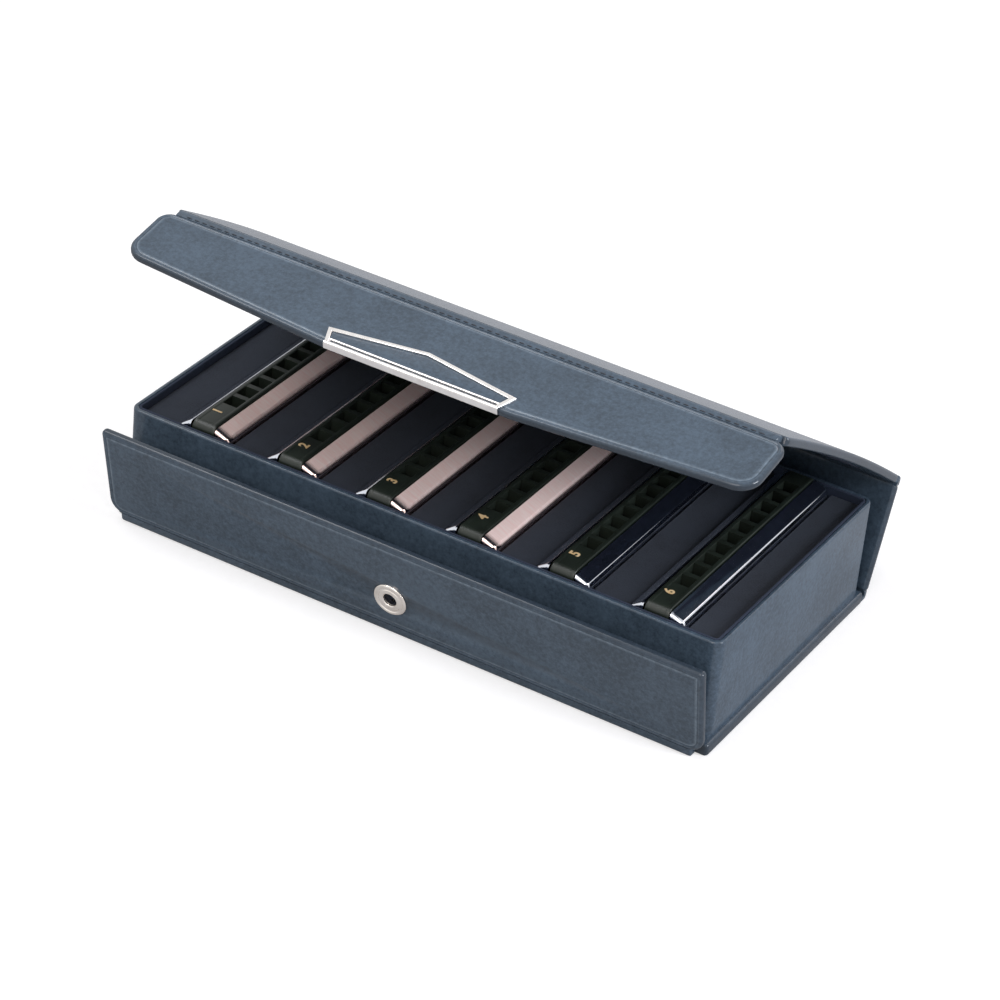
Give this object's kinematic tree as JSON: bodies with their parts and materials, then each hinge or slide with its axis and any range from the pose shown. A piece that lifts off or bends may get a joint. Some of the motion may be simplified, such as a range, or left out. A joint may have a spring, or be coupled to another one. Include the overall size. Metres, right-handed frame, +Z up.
{
  "type": "harmonica case",
  "caption": "Leatherette wrap-round case with a hinged spine, lid, snap flap and front flap; a slotted tray holds ten-hole harmonicas on edge.",
  "frame": {"origin": "middle of the base's underside, on the surface that the case stands on", "axes": "+Z up, +X to the right along the long side, -Y to the front, where the front flap and clasp are"},
  "size_m": [0.2358, 0.1414, 0.1074],
  "materials": {
    "leatherette": "fine-grained, semi-matt",
    "grey_board": "matt",
    "lining_velvet": "short pile, matt",
    "flock_insert": "flocked, matt",
    "trim_chrome": "polished",
    "snap_metal": "polished nickel",
    "spring_steel": "satin",
    "comb_plastic": "semi-gloss black",
    "reed_brass": "satin",
    "cover_chrome": "polished",
    "screw_steel": "satin"
  },
  "bodies": {
    "tray": {"base_cover": "leatherette", "base_board": "grey_board", "tray_skin": "leatherette", "tray_box": "grey_board", "tray_liner": "lining_velvet", "slot_insert": "flock_insert", "spine_fold": "leatherette", "front_fold": "leatherette"},
    "spine": {"spine_cover": "leatherette", "spine_board": "grey_board", "spine_lining": "lining_velvet", "lid_fold": "leatherette"},
    "lid": {"lid_cover": "leatherette", "lid_board": "grey_board", "lid_lining": "lining_velvet", "lid_flap_fold": "leatherette"},
    "lid_flap": {"lid_flap_cover": "leatherette", "lid_flap_board": "grey_board", "lid_flap_lining": "lining_velvet", "trim_frame": "trim_chrome", "trim_inlay": "leatherette", "snap_stud": "snap_metal", "stud_post": "snap_metal"},
    "front_flap": {"front_flap_cover": "leatherette", "front_flap_board": "grey_board", "front_flap_lining": "lining_velvet", "snap_cap": "snap_metal", "snap_spring": "spring_steel", "snap_back": "snap_metal"},
    "harmonica_1": {"harmonica_1_comb": "comb_plastic", "harmonica_1_reed_plates": "reed_brass", "harmonica_1_left_cover": "cover_chrome", "harmonica_1_right_cover": "cover_chrome", "harmonica_1_screws": "screw_steel"},
    "harmonica_2": {"harmonica_2_comb": "comb_plastic", "harmonica_2_reed_plates": "reed_brass", "harmonica_2_left_cover": "cover_chrome", "harmonica_2_right_cover": "cover_chrome", "harmonica_2_screws": "screw_steel"},
    "harmonica_3": {"harmonica_3_comb": "comb_plastic", "harmonica_3_reed_plates": "reed_brass", "harmonica_3_left_cover": "cover_chrome", "harmonica_3_right_cover": "cover_chrome", "harmonica_3_screws": "screw_steel"},
    "harmonica_4": {"harmonica_4_comb": "comb_plastic", "harmonica_4_reed_plates": "reed_brass", "harmonica_4_left_cover": "cover_chrome", "harmonica_4_right_cover": "cover_chrome", "harmonica_4_screws": "screw_steel"},
    "harmonica_5": {"harmonica_5_comb": "comb_plastic", "harmonica_5_reed_plates": "reed_brass", "harmonica_5_left_cover": "cover_chrome", "harmonica_5_right_cover": "cover_chrome", "harmonica_5_screws": "screw_steel"},
    "harmonica_6": {"harmonica_6_comb": "comb_plastic", "harmonica_6_reed_plates": "reed_brass", "harmonica_6_left_cover": "cover_chrome", "harmonica_6_right_cover": "cover_chrome", "harmonica_6_screws": "screw_steel"}
  },
  "joints": [
    {"name": "spine_hinge", "type": "hinge", "parent": "tray", "child": "spine", "pos_m": [0, 0.0582, 0.0015], "axis": [-1, 0, 0], "range_deg": [-19, 71]},
    {"name": "lid_hinge", "type": "hinge", "parent": "spine", "child": "lid", "pos_m": [0, 0.07204, 0.04168], "axis": [-1, 0, 0], "range_deg": [-13.2, 76.8]},
    {"name": "lid_flap_hinge", "type": "hinge", "parent": "lid", "child": "lid_flap", "pos_m": [0, -0.03, 0.10594], "axis": [-1, 0, 0], "range_deg": [-46.3, 39.7]},
    {"name": "front_flap_hinge", "type": "hinge", "parent": "tray", "child": "front_flap", "pos_m": [0, -0.0582, 0.0015], "axis": [1, 0, 0], "range_deg": [-15.97, 71]},
    {"name": "harmonica_1_lift", "type": "slide", "parent": "tray", "child": "harmonica_1", "axis": [0, 0, 1], "range_m": [-0.0029, 0.006]},
    {"name": "harmonica_2_lift", "type": "slide", "parent": "tray", "child": "harmonica_2", "axis": [0, 0, 1], "range_m": [-0.0029, 0.006]},
    {"name": "harmonica_3_lift", "type": "slide", "parent": "tray", "child": "harmonica_3", "axis": [0, 0, 1], "range_m": [-0.0029, 0.006]},
    {"name": "harmonica_4_lift", "type": "slide", "parent": "tray", "child": "harmonica_4", "axis": [0, 0, 1], "range_m": [-0.0029, 0.006]},
    {"name": "harmonica_5_lift", "type": "slide", "parent": "tray", "child": "harmonica_5", "axis": [0, 0, 1], "range_m": [-0.0029, 0.006]},
    {"name": "harmonica_6_lift", "type": "slide", "parent": "tray", "child": "harmonica_6", "axis": [0, 0, 1], "range_m": [-0.0029, 0.006]}
  ]
}
